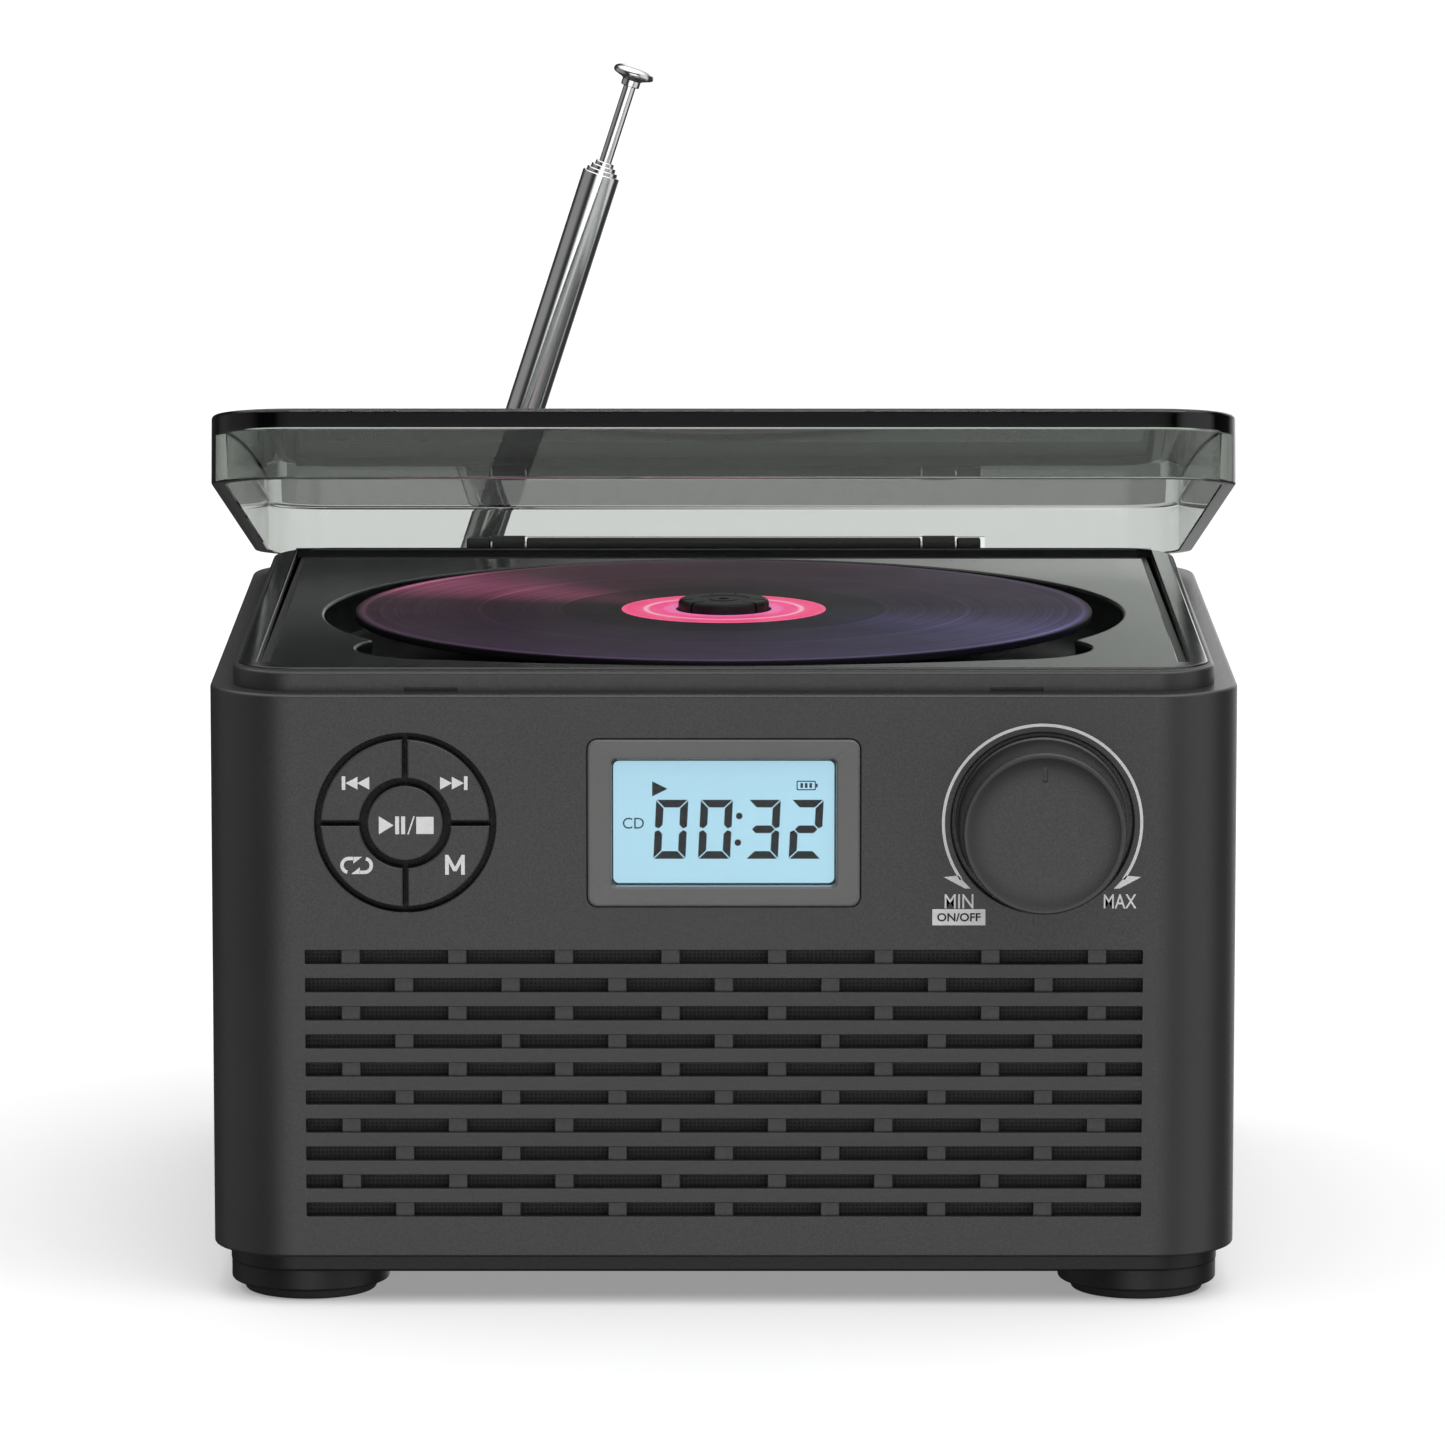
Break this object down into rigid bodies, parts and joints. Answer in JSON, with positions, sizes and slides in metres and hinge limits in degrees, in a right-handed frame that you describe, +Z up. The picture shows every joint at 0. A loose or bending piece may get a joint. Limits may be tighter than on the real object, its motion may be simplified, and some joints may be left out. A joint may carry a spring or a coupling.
{
  "type": "portable cd player",
  "caption": "Boxy portable disc player with a smoked hinged lid over the disc well, front keys, display, volume knob, speaker grille and a folding telescopic antenna.",
  "frame": {"origin": "on the floor under the middle of the body shell, in the plane of the rubber feet's undersides", "axes": "+X to the right seen from the front, +Y from the front to the back, +Z up"},
  "size_m": [0.161, 0.18, 0.1821],
  "materials": {
    "shell_plastic": "fine satin texture",
    "base_plastic": "matte",
    "frame_plastic": "satin",
    "foot_rubber": "matte",
    "bush_rubber": "matte",
    "screw_steel": "zinc plated",
    "deck_gloss": "high gloss",
    "well_gloss": "gloss",
    "smoked_clear": "clear smoked, polished",
    "black_plastic": "matte",
    "pin_steel": "polished",
    "antenna_chrome": "polished",
    "button_plastic": "satin",
    "knob_plastic": "satin",
    "bezel_paint": "satin grey",
    "display_lens": "clear",
    "display_glass": "lit blue-white",
    "circuit_board": "solder mask",
    "cloth_black": "woven",
    "cone_paper": "matte",
    "basket_steel": "painted",
    "magnet_steel": "plated",
    "motor_metal": "plated",
    "hub_plastic": "matte",
    "disc_polycarbonate": "mirror-like with a faint rainbow",
    "sled_metal": "cast",
    "lens_clear": "coated",
    "screw_brass": "turned",
    "cell_wrap": "shrink sleeve"
  },
  "bodies": {
    "body": {"main_shell": "shell_plastic", "bottom_cover": "base_plastic", "rubber_feet": "foot_rubber", "base_screws": "screw_steel", "top_frame": "frame_plastic", "deck_plate": "deck_gloss", "disc_tray": "well_gloss", "hinge_bar": "black_plastic", "hinge_pin": "pin_steel", "rear_plate": "black_plastic", "rear_plate_screws": "screw_steel", "usb_socket": "pin_steel", "aux_socket": "black_plastic", "headphone_socket": "black_plastic", "antenna_socket": "black_plastic", "button_carrier": "black_plastic", "key_board": "circuit_board", "key_switches": "motor_metal", "volume_pot": "motor_metal", "volume_nut": "pin_steel", "lcd_bezel": "bezel_paint", "lcd_window": "display_lens", "lcd_panel": "display_glass", "display_board": "circuit_board", "grille_cloth": "cloth_black", "speaker_basket_left": "basket_steel", "speaker_basket_right": "basket_steel", "speaker_cone_left": "cone_paper", "speaker_cone_right": "cone_paper", "speaker_magnet_left": "magnet_steel", "speaker_magnet_right": "magnet_steel", "cd_chassis": "black_plastic", "spindle_motor": "motor_metal", "guide_rods": "pin_steel", "sled_motor": "motor_metal", "damper_bushes": "bush_rubber", "main_board": "circuit_board", "battery": "cell_wrap"},
    "lid": {"lid": "smoked_clear"},
    "antenna_swivel": {"antenna_swivel": "antenna_chrome", "antenna_washer": "pin_steel", "antenna_pin": "antenna_chrome"},
    "antenna_mast": {"antenna_tube_1": "antenna_chrome"},
    "antenna_second": {"antenna_tube_2": "antenna_chrome"},
    "antenna_third": {"antenna_tube_3": "antenna_chrome"},
    "antenna_fourth": {"antenna_tube_4": "antenna_chrome"},
    "antenna_tip": {"antenna_rod": "antenna_chrome", "antenna_cap": "antenna_chrome"},
    "previous": {"button_previous": "button_plastic"},
    "next": {"button_next": "button_plastic"},
    "repeat": {"button_repeat": "button_plastic"},
    "mode": {"button_mode": "button_plastic"},
    "play": {"button_play": "button_plastic"},
    "knob": {"volume_knob": "knob_plastic", "volume_shaft": "pin_steel"},
    "spindle": {"turntable": "hub_plastic"},
    "disc": {"disc": "disc_polycarbonate"},
    "sled": {"laser_sled": "sled_metal", "laser_lens": "lens_clear"},
    "screw": {"lead_screw": "screw_brass"}
  },
  "joints": [
    {"name": "lid_hinge", "type": "hinge", "parent": "body", "child": "lid", "pos_m": [0, 0.075, 0.1002], "axis": [-1, 0, 0], "range_deg": [-12, 45]},
    {"name": "antenna_turn", "type": "hinge", "parent": "body", "child": "antenna_swivel", "pos_m": [-0.0452, 0.0878, 0.089], "axis": [0, -1, 0], "range_deg": [-72, 108]},
    {"name": "antenna_tilt", "type": "hinge", "parent": "antenna_swivel", "child": "antenna_mast", "pos_m": [-0.0452, 0.0878, 0.089], "axis": [-0.9511, 0, 0.309], "range_deg": [0, 90]},
    {"name": "antenna_slide_2", "type": "slide", "parent": "antenna_mast", "child": "antenna_second", "axis": [0.309, 0, 0.9511], "range_m": [0, 0.06]},
    {"name": "antenna_slide_3", "type": "slide", "parent": "antenna_second", "child": "antenna_third", "axis": [0.309, 0, 0.9511], "range_m": [0, 0.06]},
    {"name": "antenna_slide_4", "type": "slide", "parent": "antenna_third", "child": "antenna_fourth", "axis": [0.309, 0, 0.9511], "range_m": [0, 0.058]},
    {"name": "antenna_slide_tip", "type": "slide", "parent": "antenna_fourth", "child": "antenna_tip", "axis": [0.309, 0, 0.9511], "range_m": [0, 0.058]},
    {"name": "previous_press", "type": "slide", "parent": "body", "child": "previous", "axis": [0, 1, 0], "range_m": [0, 0.0006], "stiffness_N_per_m": 1500},
    {"name": "next_press", "type": "slide", "parent": "body", "child": "next", "axis": [0, 1, 0], "range_m": [0, 0.0006], "stiffness_N_per_m": 1500},
    {"name": "repeat_press", "type": "slide", "parent": "body", "child": "repeat", "axis": [0, 1, 0], "range_m": [0, 0.0006], "stiffness_N_per_m": 1500},
    {"name": "mode_press", "type": "slide", "parent": "body", "child": "mode", "axis": [0, 1, 0], "range_m": [0, 0.0006], "stiffness_N_per_m": 1500},
    {"name": "play_press", "type": "slide", "parent": "body", "child": "play", "axis": [0, 1, 0], "range_m": [0, 0.0006], "stiffness_N_per_m": 1500},
    {"name": "knob_turn", "type": "hinge", "parent": "body", "child": "knob", "pos_m": [0.0496, -0.08, 0.0768], "axis": [0, 1, 0], "range_deg": [-140, 140]},
    {"name": "spindle_spin", "type": "hinge", "parent": "body", "child": "spindle", "pos_m": [0, -0.0076, 0.098], "axis": [0, 0, 1], "continuous": true},
    {"name": "disc_lift", "type": "slide", "parent": "spindle", "child": "disc", "axis": [0, 0, 1], "range_m": [0, 0.008]},
    {"name": "sled_slide", "type": "slide", "parent": "body", "child": "sled", "axis": [0, 1, 0], "range_m": [-0.0025, 0.0295]},
    {"name": "screw_spin", "type": "hinge", "parent": "body", "child": "screw", "pos_m": [0.028, 0.03, 0.086], "axis": [0, 1, 0], "range_deg": [-120, 1340]}
  ],
  "couplings": [
    {"joint": "screw_spin", "follows": "sled_slide", "rad_per_m": 785.4}
  ]
}
